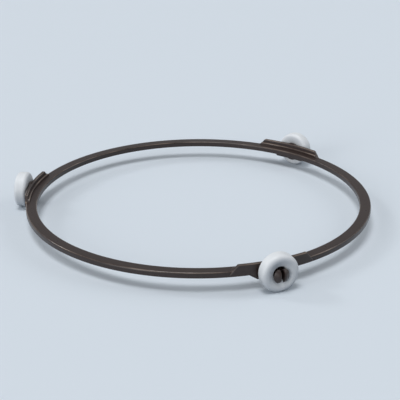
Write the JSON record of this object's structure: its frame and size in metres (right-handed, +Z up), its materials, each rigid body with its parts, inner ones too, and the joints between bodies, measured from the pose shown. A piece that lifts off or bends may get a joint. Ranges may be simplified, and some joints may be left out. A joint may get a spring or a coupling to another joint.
{
  "type": "microwave roller ring",
  "caption": "Flat moulded plastic ring with free rollers on snap axles around its rim, which carries and guides the glass tray of a microwave oven's turntable.",
  "frame": {"origin": "on the ring's axis, at the level of the oven floor that the rollers stand on", "axes": "+Z up along the ring's axis; the first roller lies on the -X side, and the part is mirror-equal about the XZ plane"},
  "size_m": [0.179, 0.17, 0.0175],
  "materials": {
    "ring_plastic": "satin moulded, dark taupe brown",
    "roller_plastic": "smooth moulded, white"
  },
  "bodies": {
    "ring": {"support_ring": "ring_plastic"},
    "first_roller": {"roller_1": "roller_plastic"},
    "second_roller": {"roller_2": "roller_plastic"},
    "third_roller": {"roller_3": "roller_plastic"}
  },
  "joints": [
    {"name": "first_roller_spin", "type": "hinge", "parent": "ring", "child": "first_roller", "pos_m": [-0.08935, 0, 0.00875], "axis": [-1, 0, 0], "continuous": true},
    {"name": "second_roller_spin", "type": "hinge", "parent": "ring", "child": "second_roller", "pos_m": [0.04467, 0.07738, 0.00875], "axis": [0.5, 0.866, 0], "continuous": true},
    {"name": "third_roller_spin", "type": "hinge", "parent": "ring", "child": "third_roller", "pos_m": [0.04467, -0.07738, 0.00875], "axis": [0.5, -0.866, 0], "continuous": true}
  ]
}
